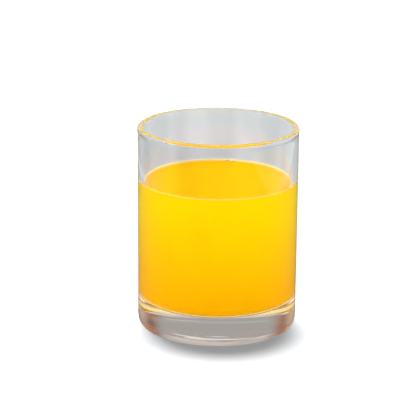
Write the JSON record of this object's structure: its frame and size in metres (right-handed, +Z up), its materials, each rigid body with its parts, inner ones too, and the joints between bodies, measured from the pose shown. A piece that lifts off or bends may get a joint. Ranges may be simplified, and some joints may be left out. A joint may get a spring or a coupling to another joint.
{
  "type": "whisky glass",
  "caption": "Short straight-sided tumbler of clear glass with a heavy base, rounded heel and beaded rim, filled about three quarters with orange juice.",
  "frame": {"origin": "on the glass's axis, on the plane of the standing ring", "axes": "+Z up along the glass's axis, towards the rim; the glass is round, so X and Y are free"},
  "size_m": [0.0764, 0.0764, 0.097],
  "materials": {
    "clear_glass": "polished",
    "juice": "gloss"
  },
  "bodies": {
    "root": {"tumbler": "clear_glass", "orange_juice": "juice"}
  },
  "joints": []
}
